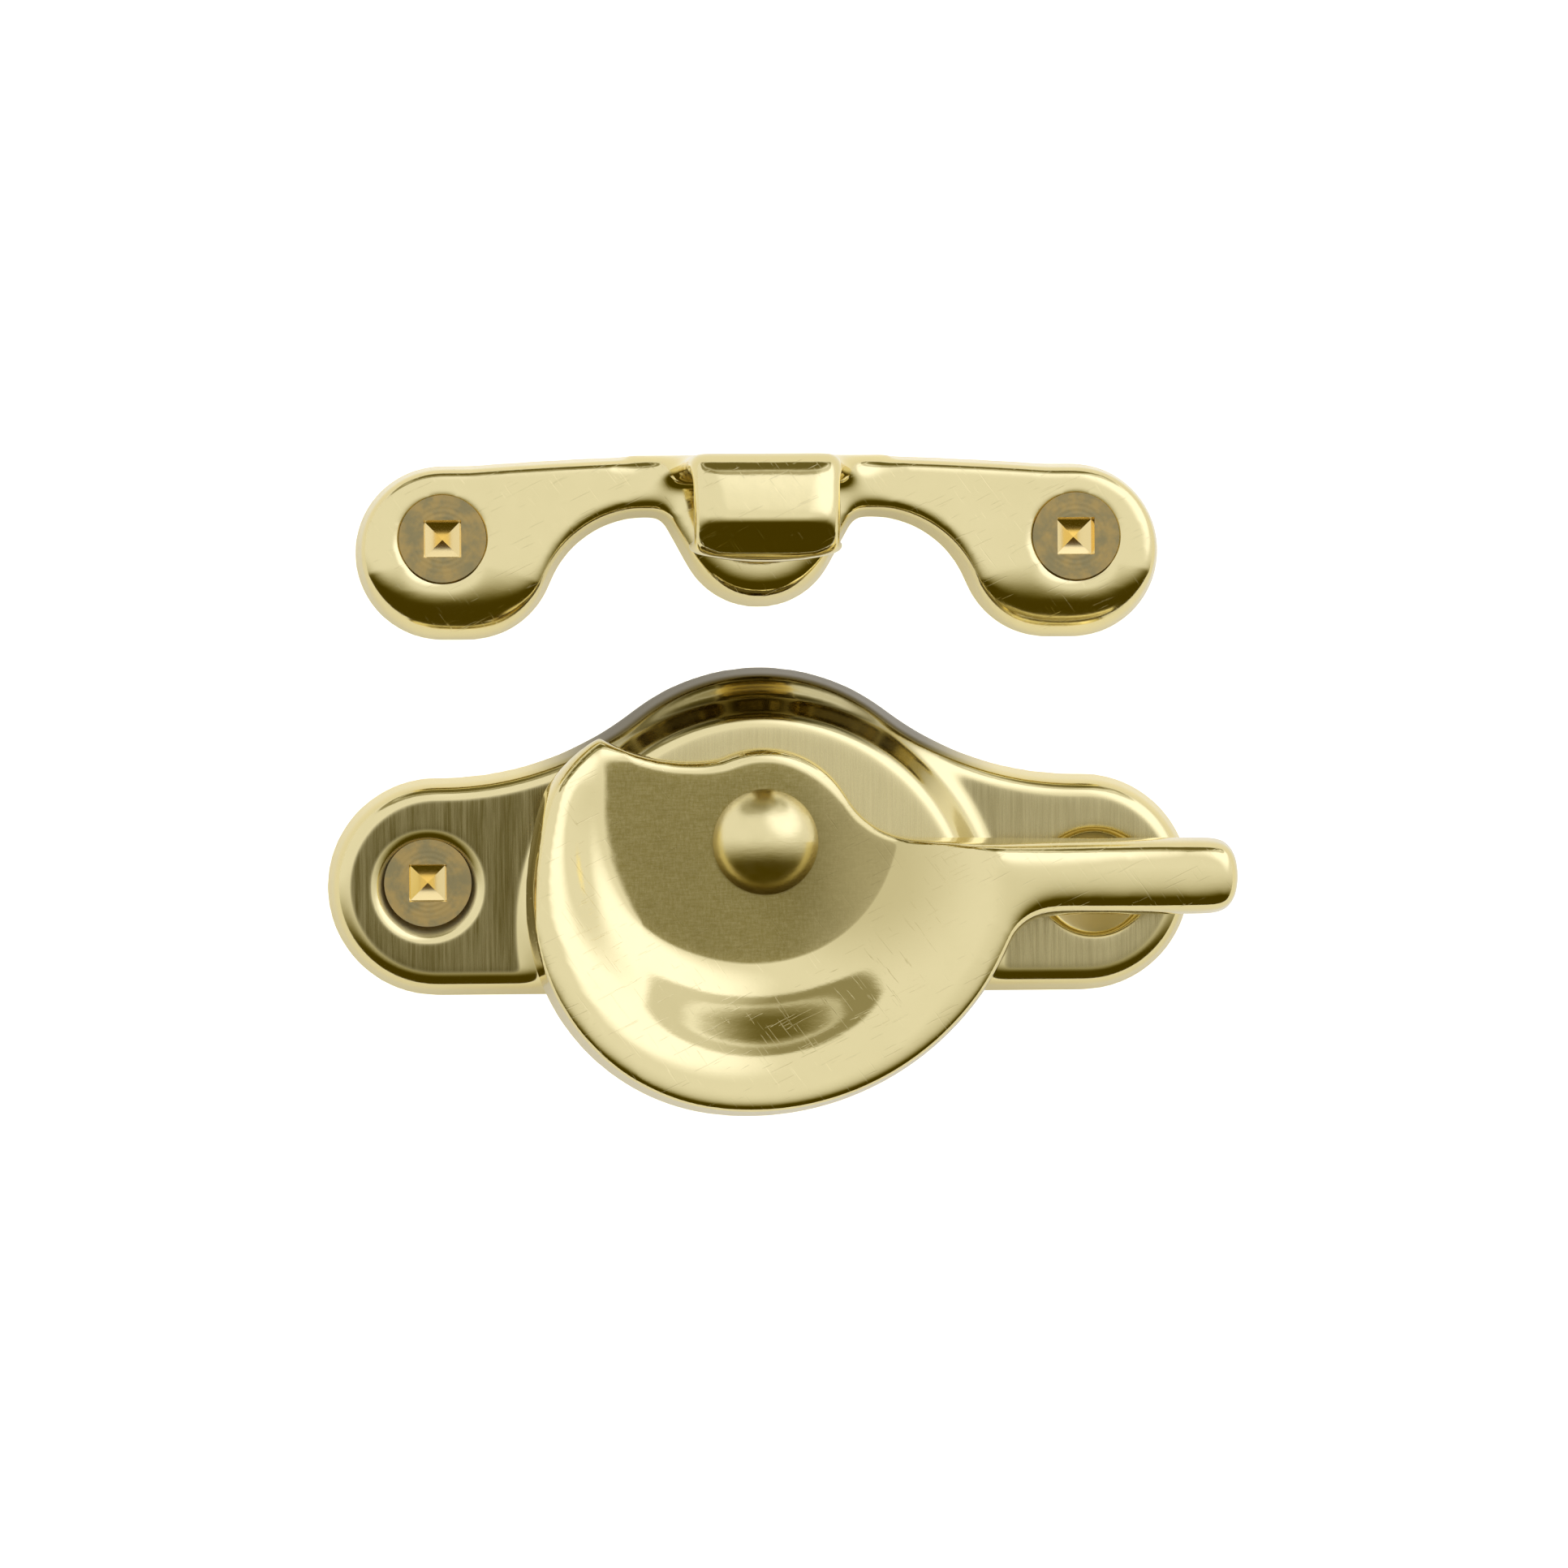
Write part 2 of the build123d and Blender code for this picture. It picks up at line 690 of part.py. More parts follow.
nodes = {
    "lock_base": lock_base(),
    "cam_lever": cam_lever(),
    "pivot_rivet": pivot_rivet(),
    "spring_washer": spring_washer(),
    "backing_washer": backing_washer(),
    "keep": keep(),
    "base_screw_left": wood_screw(
        -base_hole_x,
        ear_centre_y + screw_lean,
        seated_head_top(ear_height, base_sink_diameter, screw_lean),
    ),
    "keep_screw_left": wood_screw(
        -keep_hole_spacing / 2,
        keep_hole_y,
        seated_head_top(keep_rim_height(), keep_sink_diameter, 0),
    ),
    "keep_screw_right": wood_screw(
        keep_hole_spacing / 2,
        keep_hole_y,
        seated_head_top(keep_rim_height(), keep_sink_diameter, 0),
    ),
}

os.makedirs("parts", exist_ok=True)
for name, solid in nodes.items():
    export_step(solid, "parts/" + name + ".step")
    print(name, round(solid.volume, 1))
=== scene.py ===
import json
from math import cos, pi, radians, sin

import bmesh
import bpy
from mathutils import Matrix, Vector


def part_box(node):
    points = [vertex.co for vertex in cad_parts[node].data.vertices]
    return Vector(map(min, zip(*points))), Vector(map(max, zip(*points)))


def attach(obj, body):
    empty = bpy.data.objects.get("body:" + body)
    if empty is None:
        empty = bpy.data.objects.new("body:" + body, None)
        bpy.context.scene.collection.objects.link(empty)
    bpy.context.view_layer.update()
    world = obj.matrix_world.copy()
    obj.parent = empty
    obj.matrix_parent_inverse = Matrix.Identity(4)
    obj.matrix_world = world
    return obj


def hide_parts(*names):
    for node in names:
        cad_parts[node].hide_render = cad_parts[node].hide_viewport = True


# A fitch sash lock of polished brass: the lock with its dished cam lever, and the keep with its hook.
# Lengths are in metres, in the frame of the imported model, unless a comment says millimetres. MM turns
# millimetres into metres.
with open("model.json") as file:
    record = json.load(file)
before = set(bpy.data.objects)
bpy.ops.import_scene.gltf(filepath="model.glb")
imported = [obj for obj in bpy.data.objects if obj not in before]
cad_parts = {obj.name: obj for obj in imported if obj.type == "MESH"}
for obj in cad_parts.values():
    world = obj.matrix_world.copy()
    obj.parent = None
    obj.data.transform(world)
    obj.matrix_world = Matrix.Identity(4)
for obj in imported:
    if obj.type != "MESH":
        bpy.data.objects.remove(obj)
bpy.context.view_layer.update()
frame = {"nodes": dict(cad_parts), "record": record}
MM = 0.001

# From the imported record: the body of each solid, the right hole of the base, and the floor of the dish
behaviour = frame["record"]["behaviour"]
frame_body = {node: body for body, nodes in behaviour["bodies"].items() for node in nodes}
mount_places = {mount["name"]: mount["pos_m"] for mount in frame["record"]["mounts"]}
hole_x, hole_y = mount_places["right_screw_hole"][:2]
dish_floor = behaviour["joints"][0]["pos_m"][2]

# Castings: the size of the even faces, and how often the edges are worn down as on a polishing wheel
base_face_size = 0.22 * MM
cam_face_size = 0.19 * MM
keep_face_size = 0.18 * MM
base_polish_passes = 12
cam_polish_passes = 12
keep_polish_passes = 16

# Points closer than the merge distance are one. A wearing pass moves a point by this share of the way to
# the middle of its neighbours. The seat on the wood is smoothed level, a few times in each pass.
merge_distance = 0.0005 * MM
wear_step = 0.5
seat_height = 0.25 * MM
seat_passes = 3

# Places that are worn rounder: the name, the centre and the reach in millimetres, how often it is worn
# down, and the sides on which it lies. The growth says how soon the wear is full, going in from the edge.
wear_growth = 2.5
as_given = (1,)
both_sides = (-1, 1)
base_wear = [
    ("rims of the holes", (hole_x / MM, hole_y / MM, 3.6), (6.0, 6.0, 1.2), 20, both_sides),
]
cam_wear = [
    ("edge of the hub", (0.0, 7.0, 10.6), (15.0, 5.5, 3.2), 100, as_given),
    ("left of the rim", (-15.0, -1.0, 9.8), (6.0, 12.0, 3.5), 400, as_given),
    ("lever", (30.0, -3.0, 10.0), (17.0, 7.0, 7.0), 250, as_given),
]
keep_wear = [
    ("roll of the hook", (0.0, 26.0, 14.0), (9.0, 7.0, 7.0), 60, as_given),
    ("shoulders of the hook", (6.2, 25.0, 16.0), (3.0, 6.0, 3.2), 160, both_sides),
    ("ends of the arms at the hook", (7.5, 29.5, 6.5), (5.0, 3.5, 6.0), 200, both_sides),
    ("front of the tongue", (0.0, 19.5, 4.8), (8.5, 5.5, 4.5), 450, as_given),
    ("fronts of the lobes", (25.5, 16.5, 4.6), (11.0, 6.0, 3.5), 350, both_sides),
]

# The front of the hook is ground to a flat: a point on it in millimetres, and the way it faces
hook_flat_point = (0.0, 22.1, 14.0)
hook_flat_facing = (0.0, -0.63, 0.78)

# Camera: straight above the lock, a little to the left of the pivot, turned as the photograph is. The
# width of the film is in millimetres.
view_centre = Vector((2.03 * MM, 4.6 * MM, 0))
view_width = 126.8 * MM
camera_height = 550 * MM
camera_left = 31.6 * MM
camera_turn = radians(0.4)
nearest_seen = 10 * MM
film_width = 36

# Studio: a wall of light behind the keep, a lamp to its right, and the dim light of the room. Edges are
# given by where they begin and end. Brightness is one for white.
wall_edge = (-0.62, 0.14)
wall_brightness = 0.80
lamp_direction = (0.54, 0.60, 0.59)
lamp_edge = (0.80, 0.95)
lamp_brightness = 0.45
room_brightness = 0.06

# The oval doorway low in the wall, with a bright frame between its porch and its dark passage. Edges are
# shares of the way out to the doorway's rim, and shares are of the wall's light.
doorway_half_width = 0.60
doorway_height = 0.24
doorway_half_height = 0.38
porch_edge = (0.94, 1.02)
porch_share = 0.30
passage_edge = (0.48, 0.60)
passage_share = 0.35
frame_inner_edge = (0.60, 0.68)
frame_outer_edge = (0.68, 0.76)
frame_share = 0.40

# Warmth of the dim light: how far green and blue lie below red in the tones of a picture
picture_gamma = 2.2
green_drop = 0.051
blue_drop = 0.245
least_tone = 0.02

# Table: how it glows as the camera sees it, and how it lights the brass
table_half_side = 1.5
table_colour = (0.9, 0.9, 0.9, 1)
table_roughness = 0.9
table_glow_colour = (1.0, 0.96, 0.80, 1)
table_glow_seen = 1.3
table_glow = 0.30

# Colours of the metals, and the painted shades that darken the brass in places, standing in for shade and
# dark reflections
brass_colour = (0.92, 0.80, 0.41, 1)
hazed_brass_colour = (0.86, 0.745, 0.37, 1)
zinc_colour = (0.50, 0.36, 0.13, 1)
tarnished_zinc_colour = (0.36, 0.30, 0.14, 1)
socket_colour = (1.0, 0.80, 0.36, 1)
steel_colour = (0.55, 0.55, 0.53, 1)
painted_level_shade = (0.17, 0.15, 0.07, 1)
painted_cove_shade = (0.13, 0.11, 0.045, 1)
painted_floor_shade = (0.34, 0.31, 0.17, 1)
painted_rivet_side_shade = (0.58, 0.55, 0.42, 1)

# Roughness, from the low to the high parts of a cloudy pattern where two values are given
keep_roughness = (0.05, 0.11)
keep_arm_roughness = 0.05
base_roughness = (0.09, 0.15)
brushed_roughness = (0.20, 0.34)
countersink_roughness = 0.5
cam_roughness = (0.04, 0.08)
dish_floor_roughness = (0.32, 0.40)
rivet_roughness = (0.13, 0.24)
zinc_roughness = (0.28, 0.40)
socket_roughness = 0.16
steel_roughness = (0.26, 0.40)

# Cloudy patterns: waves per metre along each axis, the layers of finer waves, and how strong these are
haze_pattern = ((260, 260, 260), 5.0, 0.6)
ripple_pattern = ((300, 300, 300), 2.0, 0.6)
handling_pattern = ((1400, 2600, 1400), 5.0, 0.75)
scratch_pattern = ((220, 6000, 220), 2.0, 0.6)
brush_pattern = ((5200, 130, 1200), 5.0, 0.75)
streak_pattern = ((900, 60, 300), 3.0, 0.6)
ragged_pattern = ((900, 900, 1), 3.0, 0.6)
lengthwise_pattern = ((900, 5200, 900), 7.0, 0.85)
crosswise_pattern = ((5200, 1300, 900), 7.0, 0.85)
rivet_haze_pattern = ((500, 500, 500), 5.0, 0.6)
rivet_scratch_pattern = ((900, 3800, 900), 6.0, 0.8)
zinc_pattern = ((700, 700, 700), 5.0, 0.6)
steel_pattern = ((900, 900, 900), 4.0, 0.6)
cloud_edge = (0.3, 0.7)

# A few fine scratches run two ways over the polished brass
scratch_turns = (0.45, -0.95)
scratch_edge = (0.66, 0.70)

# Depths of the reliefs
ripple_depth = 0.015 * MM
keep_mark_depth = 0.0035 * MM
cam_mark_depth = 0.0025 * MM
scratch_depth = 0.004 * MM
brush_depth = 0.014 * MM
floor_scratch_depth = 0.018 * MM
rivet_scratch_depth = 0.010 * MM
ring_depth = 0.0025 * MM

# Keep: the arms are a little rougher than the hook
keep_arm_edge = (9 * MM, 16 * MM)

# Base: where it is level, what the brushing is made of, and how strong the painted shade is in its
# places: it darkens the level faces as a painted dark reflection, most in the left ear and least on the
# boss
base_level_edge = (0.985, 0.999)
fine_brushing_share = 0.6
broad_brushing_share = 0.4
brushing_edge = (0.35, 0.65)
least_brushing = 0.80
base_right_edge = (-12 * MM, 30 * MM)
base_right_share = 0.55
boss_edge = (5.0 * MM, 6.0 * MM)
boss_share = 0.30
countersink_edge = (3.9 * MM, 4.1 * MM)

# Painted shade darkens the cove of the base, where it faces the keep, behind the boss
cove_facing_edge = (0.35, 0.75)
cove_width_edge = (12 * MM, 20 * MM)

# Cam: the floor of the dish, its ragged edge and its scratches, with painted shade on the level floor,
# and the painted shade beside the rivet
floor_edge = (dish_floor + 0.10 * MM, dish_floor + 0.24 * MM)
floor_raggedness = 0.12 * MM
floor_level_edge = (0.985, 0.997)
floor_right_edge = (1.0 * MM, 9.0 * MM)
floor_right_share = 0.45
floor_scratch_edge = (0.15, 0.40)
floor_scratch_share = 0.75
rivet_side_centre = (7.5 * MM, -2.0 * MM, 0)
rivet_side_edge = (3 * MM, 10 * MM)
rivet_side_share = 0.6

# Screws: the clouds of tarnish, the turned rings, and the socket
tarnish_edge = (0.35, 0.65)
ring_spacing = 0.42 * MM
ring_edge = (1.9 * MM, 3.3 * MM)
faint_ring_share = 0.2
socket_depth_edge = (0.03 * MM, 0.10 * MM)
socket_reach_edge = (2.2 * MM, 2.3 * MM)


def link(piece):
    """Puts a new object in the scene."""
    bpy.context.scene.collection.objects.link(piece)
    return piece


def merged_copy(node, name):
    """A copy of a casting's mesh with the edges of its faces joined up."""
    shape = bmesh.new()
    shape.from_mesh(frame["nodes"][node].data)
    bmesh.ops.remove_doubles(shape, verts=shape.verts, dist=merge_distance)
    mesh = bpy.data.meshes.new(name)
    shape.to_mesh(mesh)
    shape.free()
    return link(bpy.data.objects.new(name, mesh))


def ground_flat(piece, point, facing):
    """Grinds a flat on a casting: what lies beyond a plane is taken off, and the cut is closed."""
    shape = bmesh.new()
    shape.from_mesh(piece.data)
    cut = bmesh.ops.bisect_plane(
        shape,
        geom=shape.verts[:] + shape.edges[:] + shape.faces[:],
        dist=merge_distance,
        plane_co=Vector(point) * MM,
        plane_no=facing,
        clear_outer=True,
    )
    rim = [element for element in cut["geom_cut"] if isinstance(element, bmesh.types.BMEdge)]
    bmesh.ops.holes_fill(shape, edges=rim, sides=0)
    shape.to_mesh(piece.data)
    shape.free()


def even_faces(piece, face_size):
    """Gives a piece small faces of one size, so that polishing acts evenly."""
    remesh = piece.modifiers.new("even faces", "REMESH")
    remesh.mode = "VOXEL"
    remesh.voxel_size = face_size
    settle(piece)


def settle(piece):
    """Makes what the modifiers of a piece do part of its mesh."""
    depsgraph = bpy.context.evaluated_depsgraph_get()
    mesh = bpy.data.meshes.new_from_object(piece.evaluated_get(depsgraph))
    mesh.name = piece.name
    piece.modifiers.clear()
    piece.data = mesh


def polish(piece, passes):
    """Wears the edges round, as a polishing wheel does, and keeps the seat on the wood level."""
    shape = bmesh.new()
    shape.from_mesh(piece.data)
    worn = [vert for vert in shape.verts if vert.co.z > seat_height]
    seat = [vert for vert in shape.verts if vert.co.z <= seat_height]
    for _ in range(passes):
        smooth(shape, worn)
        for _ in range(seat_passes):
            smooth(shape, seat, upwards=False)
    shape.to_mesh(piece.data)
    shape.free()


def smooth(shape, verts, upwards=True):
    """Moves each vertex towards the middle of its neighbours, upwards too or only sideways."""
    bmesh.ops.smooth_vert(
        shape, verts=verts, factor=wear_step, use_axis_x=True, use_axis_y=True, use_axis_z=upwards
    )


def wear(piece, place, centre, reach, passes):
    """Wears one place of a casting rounder than the rest, most in its middle."""
    group = piece.vertex_groups.new(name=place)
    for vert in piece.data.vertices:
        steps = [(vert.co[axis] / MM - centre[axis]) / reach[axis] for axis in range(3)]
        depth = 1 - Vector(steps).length
        if depth > 0 and vert.co.z > seat_height:
            group.add([vert.index], min(wear_growth * depth, 1.0), "REPLACE")
    rounding = piece.modifiers.new(place, "SMOOTH")
    rounding.vertex_group = group.name
    rounding.factor = wear_step
    rounding.iterations = passes
    settle(piece)
    piece.vertex_groups.clear()


class Network:
    """The nodes of a material or of the world, and the sums that join them."""

    def __init__(self, tree):
        self.nodes = tree.nodes
        self.links = tree.links

    def wire(self, start, end):
        """Joins an output to an input, or sets the input to a value."""
        if isinstance(start, bpy.types.NodeSocket):
            self.links.new(start, end)
        else:
            end.default_value = start

    def math(self, operation, first, second=0.0):
        """The result of one sum."""
        sum_node = self.nodes.new("ShaderNodeMath")
        sum_node.operation = operation
        self.wire(first, sum_node.inputs[0])
        self.wire(second, sum_node.inputs[1])
        return sum_node.outputs[0]

    def vector_math(self, operation, first, second=(0, 0, 0)):
        """The node of one sum of vectors."""
        sum_node = self.nodes.new("ShaderNodeVectorMath")
        sum_node.operation = operation
        self.wire(first, sum_node.inputs[0])
        self.wire(second, sum_node.inputs[1])
        return sum_node

    def product(self, *values):
        """All the values multiplied together."""
        result = values[0]
        for value in values[1:]:
            result = self.math("MULTIPLY", result, value)
        return result

    def spread(self, value, edge, below, above):
        """Goes smoothly from one result below an edge to another above it."""
        crossing = self.nodes.new("ShaderNodeMapRange")
        crossing.interpolation_type = "SMOOTHSTEP"
        crossing.inputs["From Min"].default_value = edge[0]
        crossing.inputs["From Max"].default_value = edge[1]
        self.wire(below, crossing.inputs["To Min"])
        self.wire(above, crossing.inputs["To Max"])
        self.links.new(value, crossing.inputs["Value"])
        return crossing.outputs["Result"]

    def rise(self, value, edge):
        """Nought below an edge and one above it."""
        return self.spread(value, edge, 0.0, 1.0)

    def fall(self, value, edge):
        """One below an edge and nought above it."""
        return self.spread(value, edge, 1.0, 0.0)

    def between(self, share, first, second):
        """One result where the share is nought, and another where it is one."""
        return self.spread(share, (0.0, 1.0), first, second)

    def part(self, vector, axis):
        """One part of a vector."""
        split = self.nodes.new("ShaderNodeSeparateXYZ")
        self.links.new(vector, split.inputs[0])
        return split.outputs[axis]


class Finish(Network):
    """A material that is built from a few nodes."""

    def __init__(self, name):
        self.material = bpy.data.materials.new(name)
        self.material.use_nodes = True
        super().__init__(self.material.node_tree)
        self.shader = self.nodes["Principled BSDF"]
        self.place = self.nodes.new("ShaderNodeTexCoord").outputs["Object"]

    def part_of_place(self, axis):
        """One of the object's coordinates."""
        return self.part(self.place, axis)

    def part_of_normal(self, axis):
        """How far the surface faces along one axis."""
        geometry = self.nodes.new("ShaderNodeNewGeometry")
        return self.part(geometry.outputs["Normal"], axis)

    def sideways(self):
        """How far the surface lies to either side of the pivot."""
        return self.math("ABSOLUTE", self.part_of_place("X"))

    def distance_from(self, centre):
        """How far the surface is from the upright line through a point."""
        away = self.vector_math("SUBTRACT", self.place, centre).outputs[0]
        level = self.vector_math("MULTIPLY", away, (1, 1, 0)).outputs[0]
        return self.vector_math("LENGTH", level).outputs["Value"]

    def scaled_place(self, waves, turn):
        """The object's coordinates, turned about the upright and then stretched along each axis."""
        mapping = self.nodes.new("ShaderNodeMapping")
        mapping.vector_type = "TEXTURE"
        mapping.inputs["Rotation"].default_value = (0, 0, turn)
        mapping.inputs["Scale"].default_value = [1 / count for count in waves]
        self.links.new(self.place, mapping.inputs["Vector"])
        return mapping.outputs["Vector"]

    def cloudy(self, pattern, turn=0.0):
        """A cloudy pattern, turned about the upright."""
        waves, layers, strength = pattern
        texture = self.nodes.new("ShaderNodeTexNoise")
        texture.inputs["Scale"].default_value = 1.0
        texture.inputs["Detail"].default_value = layers
        texture.inputs["Roughness"].default_value = strength
        self.links.new(self.scaled_place(waves, turn), texture.inputs["Vector"])
        return texture.outputs["Fac"]

    def scratches(self):
        """One on a few fine scratches, and nought elsewhere."""
        first, second = [
            self.rise(self.cloudy(scratch_pattern, turn), scratch_edge) for turn in scratch_turns
        ]
        return self.math("MAXIMUM", first, second)

    def clouded(self, cloud, values):
        """Goes from one value to another with a cloudy pattern."""
        return self.spread(cloud, cloud_edge, *values)

    def colour(self, share, first, second, blend="MIX"):
        """A colour between two colours."""
        mix = self.nodes.new("ShaderNodeMix")
        mix.data_type = "RGBA"
        mix.blend_type = blend
        self.wire(share, mix.inputs["Factor"])
        self.wire(first, mix.inputs["A"])
        self.wire(second, mix.inputs["B"])
        return mix.outputs["Result"]

    def shaded(self, colour, share, shade):
        """A colour times a shade where the share is one, and the plain colour where it is nought."""
        return self.colour(share, colour, shade, "MULTIPLY")

    def bump(self, height, distance, after=None):
        """A fine relief, laid over an earlier one if there is one."""
        bump = self.nodes.new("ShaderNodeBump")
        bump.inputs["Distance"].default_value = distance
        self.links.new(height, bump.inputs["Height"])
        if after is not None:
            self.links.new(after, bump.inputs["Normal"])
        return bump.outputs["Normal"]


class MetalFinish(Finish):
    """A material of bare or plated metal."""

    def __init__(self, name):
        super().__init__(name)
        self.shader.inputs["Metallic"].default_value = 1.0

    def hazed_brass(self, haze):
        """The colour of brass, duller where there is haze."""
        return self.colour(haze, brass_colour, hazed_brass_colour)

    def finished(self, colour, roughness):
        """The material with its colour and roughness."""
        self.wire(colour, self.shader.inputs["Base Color"])
        self.wire(roughness, self.shader.inputs["Roughness"])
        return self.material

    def engraved(self, relief):
        """Gives the surface its relief."""
        self.links.new(relief, self.shader.inputs["Normal"])


def brass_finish(name):
    """Polished brass with a soft haze and the marks of handling."""
    finish = MetalFinish(name)
    haze = finish.cloudy(haze_pattern)
    on_arms = finish.rise(finish.sideways(), keep_arm_edge)
    rubbed = finish.product(on_arms, keep_arm_roughness)
    roughness = finish.math("ADD", finish.clouded(haze, keep_roughness), rubbed)

    ripple = finish.bump(finish.cloudy(ripple_pattern), ripple_depth)
    marks = finish.bump(finish.cloudy(handling_pattern), keep_mark_depth, after=ripple)
    finish.engraved(finish.bump(finish.scratches(), -scratch_depth, after=marks))
    return finish.finished(finish.hazed_brass(haze), roughness)


def brushed_brass_painted_shade_finish(name):
    """Brass whose level faces are brushed along Y and carry painted shade, darker to the left, with
    painted shade in the cove.
    """
    finish = MetalFinish(name)
    haze = finish.cloudy(haze_pattern)
    level = finish.rise(finish.part_of_normal("Z"), base_level_edge)
    lines = finish.cloudy(brush_pattern)

    # Painted shade: the level faces are darkened as if they mirrored something dark, streaked by the
    # brushing
    painted_shade_share = finish.product(level, brushing(finish, lines), painted_base_shade(finish))
    colour = finish.shaded(finish.hazed_brass(haze), painted_shade_share, painted_level_shade)
    # Painted shade in the cove that faces the keep, behind the boss
    towards_keep = finish.rise(finish.part_of_normal("Y"), cove_facing_edge)
    behind_boss = finish.fall(finish.sideways(), cove_width_edge)
    colour = finish.shaded(colour, finish.product(towards_keep, behind_boss), painted_cove_shade)

    smooth_parts = finish.clouded(haze, base_roughness)
    roughness = finish.between(level, smooth_parts, finish.clouded(lines, brushed_roughness))
    for side in both_sides:
        from_hole = finish.distance_from((side * hole_x, hole_y, 0))
        turned = finish.product(finish.fall(from_hole, countersink_edge), countersink_roughness)
        roughness = finish.math("MAXIMUM", roughness, turned)

    finish.engraved(finish.bump(finish.product(lines, level), brush_depth))
    return finish.finished(colour, roughness)


def brushing(finish, lines):
    """How strong the painted shade is along the brushing: fine lines with broader streaks among them."""
    fine = finish.product(lines, fine_brushing_share)
    broad = finish.product(finish.cloudy(streak_pattern), broad_brushing_share)
    return finish.spread(finish.math("ADD", fine, broad), brushing_edge, least_brushing, 1.0)


def painted_base_shade(finish):
    """How strong the painted shade on the base is: most in the left ear, and least on the boss."""
    leftward = finish.spread(finish.part_of_place("X"), base_right_edge, 1.0, base_right_share)
    below_boss = finish.spread(finish.part_of_place("Z"), boss_edge, 1.0, boss_share)
    return finish.product(leftward, below_boss)


def cam_finish(name):
    """Polished brass with a dull, scratched floor round the rivet that carries painted shade, and painted
    shade beside the rivet.
    """
    finish = MetalFinish(name)
    haze = finish.cloudy(haze_pattern)
    floor = share_of_floor(finish)
    scratches = finish.product(finish.cloudy(lengthwise_pattern), finish.cloudy(crosswise_pattern))

    # Painted shade on the level floor, thinned where the scratches run
    worn = finish.spread(scratches, floor_scratch_edge, 1.0, floor_scratch_share)
    colour = finish.shaded(finish.hazed_brass(haze), finish.product(floor, worn), painted_floor_shade)
    # Painted shade on the slope beside the rivet
    from_place = finish.distance_from(rivet_side_centre)
    painted_shade_beside_rivet = finish.spread(from_place, rivet_side_edge, rivet_side_share, 0.0)
    colour = finish.shaded(colour, painted_shade_beside_rivet, painted_rivet_side_shade)

    polished = finish.clouded(haze, cam_roughness)
    dull = finish.clouded(haze, dish_floor_roughness)
    roughness = finish.between(floor, polished, dull)

    relief = finish.bump(finish.product(scratches, floor), floor_scratch_depth)
    marks = finish.bump(finish.cloudy(handling_pattern), cam_mark_depth, after=relief)
    finish.engraved(finish.bump(finish.scratches(), -scratch_depth, after=marks))
    return finish.finished(colour, roughness)


def share_of_floor(finish):
    """How much the floor is dulled and painted with shade: one on the level floor of the dish, less to
    its right, and nought past its ragged edge.
    """
    ragged = finish.product(finish.cloudy(ragged_pattern), floor_raggedness)
    height = finish.math("ADD", finish.part_of_place("Z"), ragged)
    low = finish.fall(height, floor_edge)
    level = finish.rise(finish.part_of_normal("Z"), floor_level_edge)
    leftward = finish.spread(finish.part_of_place("X"), floor_right_edge, 1.0, floor_right_share)
    return finish.product(low, level, leftward)


def screw_finish(name, head_centre):
    """Yellow zinc plating: turned rings on the head, and a bright orange socket."""
    finish = MetalFinish(name)
    cloud = finish.cloudy(zinc_pattern)
    radius = finish.distance_from(head_centre)
    depth = finish.math("SUBTRACT", head_centre[2], finish.part_of_place("Z"))
    deep = finish.rise(depth, socket_depth_edge)
    socket = finish.product(deep, finish.fall(radius, socket_reach_edge))

    plating = finish.colour(finish.rise(cloud, tarnish_edge), zinc_colour, tarnished_zinc_colour)
    colour = finish.colour(socket, plating, socket_colour)
    roughness = finish.between(socket, finish.clouded(cloud, zinc_roughness), socket_roughness)

    waves = finish.math("SINE", finish.product(radius, 2 * pi / ring_spacing))
    rings = finish.product(waves, finish.spread(radius, ring_edge, 1.0, faint_ring_share))
    relief = finish.product(rings, finish.math("SUBTRACT", 1.0, socket))
    finish.engraved(finish.bump(relief, ring_depth))
    return finish.finished(colour, roughness)


def rivet_finish(name):
    """Brass rubbed by the hook, with fine scratches all ways."""
    finish = MetalFinish(name)
    haze = finish.cloudy(rivet_haze_pattern)
    finish.engraved(finish.bump(finish.cloudy(rivet_scratch_pattern), rivet_scratch_depth))
    return finish.finished(finish.hazed_brass(haze), finish.clouded(haze, rivet_roughness))


def steel_finish(name):
    """Plain steel of the hidden washers."""
    finish = MetalFinish(name)
    return finish.finished(steel_colour, finish.clouded(finish.cloudy(steel_pattern), steel_roughness))


def polished_casting(node, name, face_size, passes, worn_places, material, flats=()):
    """The seen form of a casting, which stands for its solid."""
    piece = merged_copy(node, name)
    for point, facing in flats:
        ground_flat(piece, point, facing)
    even_faces(piece, face_size)
    polish(piece, passes)
    for place, (x, y, z), reach, wear_passes, sides in worn_places:
        for side in sides:
            wear(piece, place, (side * x, y, z), reach, wear_passes)
    piece.data.shade_smooth()
    piece.data.materials.append(material)
    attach(piece, frame_body[node])
    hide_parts(node)


def dress(node, material):
    """Gives a solid that is shown as it is its finish."""
    mesh = frame["nodes"][node].data
    mesh.materials.clear()
    mesh.materials.append(material)


def studio_world():
    """A white wall of light behind the keep, a lamp to its right, and a dim warm room in front."""
    world = bpy.data.worlds.new("studio")
    world.use_nodes = True
    bpy.context.scene.world = world
    sky = Network(world.node_tree)
    way = sky.nodes.new("ShaderNodeTexCoord").outputs["Generated"]
    wall = sky.spread(sky.part(way, "Y"), wall_edge, 0.0, wall_brightness)
    towards_lamp = sky.vector_math("DOT_PRODUCT", way, lamp_direction).outputs["Value"]
    lamp = sky.spread(towards_lamp, lamp_edge, 0.0, lamp_brightness)
    lit = sky.math("ADD", sky.product(wall, doorway(sky, way)), lamp)
    glow = sky.math("ADD", lit, room_brightness)
    sky.wire(warmed(sky, glow), sky.nodes["Background"].inputs["Color"])


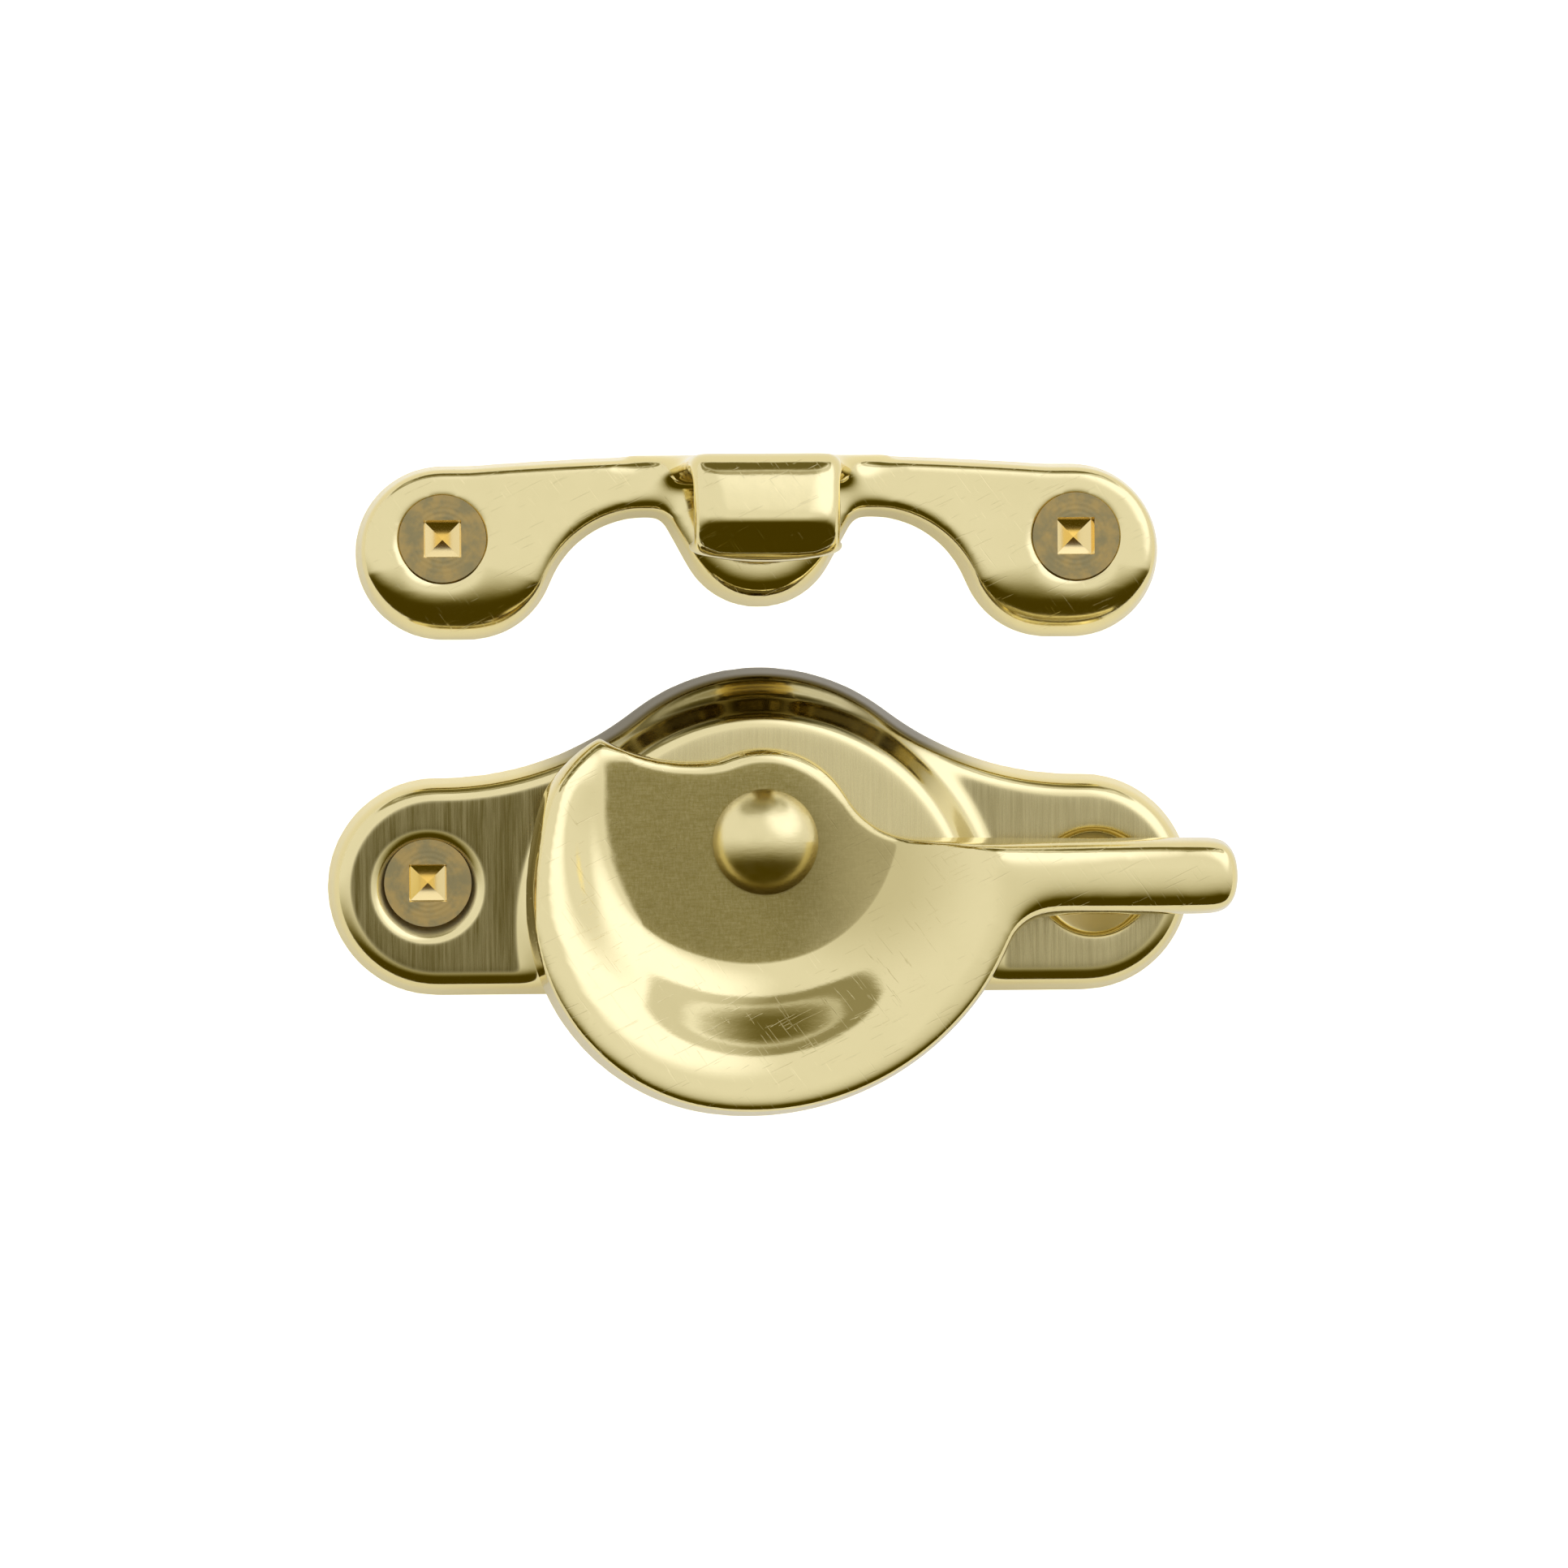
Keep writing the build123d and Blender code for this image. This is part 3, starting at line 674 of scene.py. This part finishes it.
def doorway(sky, way):
    """The share of the wall's light that is left in the dark doorway and on its bright frame."""
    across = sky.math("DIVIDE", sky.part(way, "X"), doorway_half_width)
    height = sky.math("SUBTRACT", sky.part(way, "Z"), doorway_height)
    upwards = sky.math("DIVIDE", height, doorway_half_height)
    squares = sky.math("ADD", sky.product(across, across), sky.product(upwards, upwards))
    reach = sky.math("SQRT", squares)
    porch = sky.spread(reach, porch_edge, porch_share, 1.0)
    passage = sky.spread(reach, passage_edge, passage_share, 1.0)
    frame_start = sky.spread(reach, frame_inner_edge, 0.0, frame_share)
    frame_end = sky.fall(reach, frame_outer_edge)
    return sky.math("ADD", sky.product(porch, passage), sky.product(frame_start, frame_end))


def warmed(sky, glow):
    """The colour of the light: its dim parts are warm, and so is what they light."""
    tone = sky.math("POWER", sky.product(glow, brass_colour[0]), 1 / picture_gamma)
    mix = sky.nodes.new("ShaderNodeCombineXYZ")
    sky.wire(glow, mix.inputs[0])
    for channel, drop in ((1, green_drop), (2, blue_drop)):
        lower = sky.math("MAXIMUM", sky.math("SUBTRACT", tone, drop), least_tone)
        plain = sky.math("DIVIDE", sky.math("POWER", lower, picture_gamma), brass_colour[channel])
        sky.wire(plain, mix.inputs[channel])
    return mix.outputs[0]


def table():
    """A plain white table, lit from all sides."""
    shape = bmesh.new()
    bmesh.ops.create_grid(shape, x_segments=1, y_segments=1, size=table_half_side)
    mesh = bpy.data.meshes.new("table")
    shape.to_mesh(mesh)
    shape.free()
    piece = link(bpy.data.objects.new("table", mesh))
    mesh.materials.append(table_finish("table white"))


def table_finish(name):
    """White that glows evenly, and less towards the brass than towards the camera."""
    finish = Finish(name)
    finish.shader.inputs["Base Color"].default_value = table_colour
    finish.shader.inputs["Roughness"].default_value = table_roughness
    finish.shader.inputs["Emission Color"].default_value = table_glow_colour
    seen = finish.nodes.new("ShaderNodeLightPath").outputs["Is Camera Ray"]
    glow = finish.between(seen, table_glow, table_glow_seen)
    finish.wire(glow, finish.shader.inputs["Emission Strength"])
    return finish.material


def set_camera():
    """The camera of the photograph."""
    data = bpy.data.cameras.new("camera")
    camera = link(bpy.data.objects.new("camera", data))
    place = view_centre + Vector((-camera_left, 0, camera_height))
    back = (place - view_centre).normalized()
    up = Vector((sin(camera_turn), cos(camera_turn), 0))
    right = up.cross(back).normalized()
    up = back.cross(right)
    turn = Matrix((right, up, back)).transposed()
    camera.matrix_world = Matrix.Translation(place) @ turn.to_4x4()
    data.sensor_width = film_width
    data.lens = film_width * (place - view_centre).length / view_width
    data.clip_start = nearest_seen
    bpy.context.scene.camera = camera
    bpy.context.scene.view_settings.view_transform = "Standard"


set_camera()
studio_world()
table()

polished_casting(
    "lock_base",
    "base_casting",
    base_face_size,
    base_polish_passes,
    base_wear,
    brushed_brass_painted_shade_finish("brushed brass with painted shade"),
)
polished_casting(
    "cam_lever",
    "cam_casting",
    cam_face_size,
    cam_polish_passes,
    cam_wear,
    cam_finish("dished brass"),
)
polished_casting(
    "keep",
    "keep_casting",
    keep_face_size,
    keep_polish_passes,
    keep_wear,
    brass_finish("polished brass"),
    flats=[(hook_flat_point, hook_flat_facing)],
)
dress("pivot_rivet", rivet_finish("rivet brass"))
for node in ("spring_washer", "backing_washer"):
    dress(node, steel_finish("washer steel"))
for node in ("base_screw_left", "keep_screw_left", "keep_screw_right"):
    low_corner, high_corner = (Vector(corner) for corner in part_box(node))
    middle = (low_corner + high_corner) / 2
    dress(node, screw_finish("yellow zinc " + node, (middle.x, middle.y, high_corner.z)))
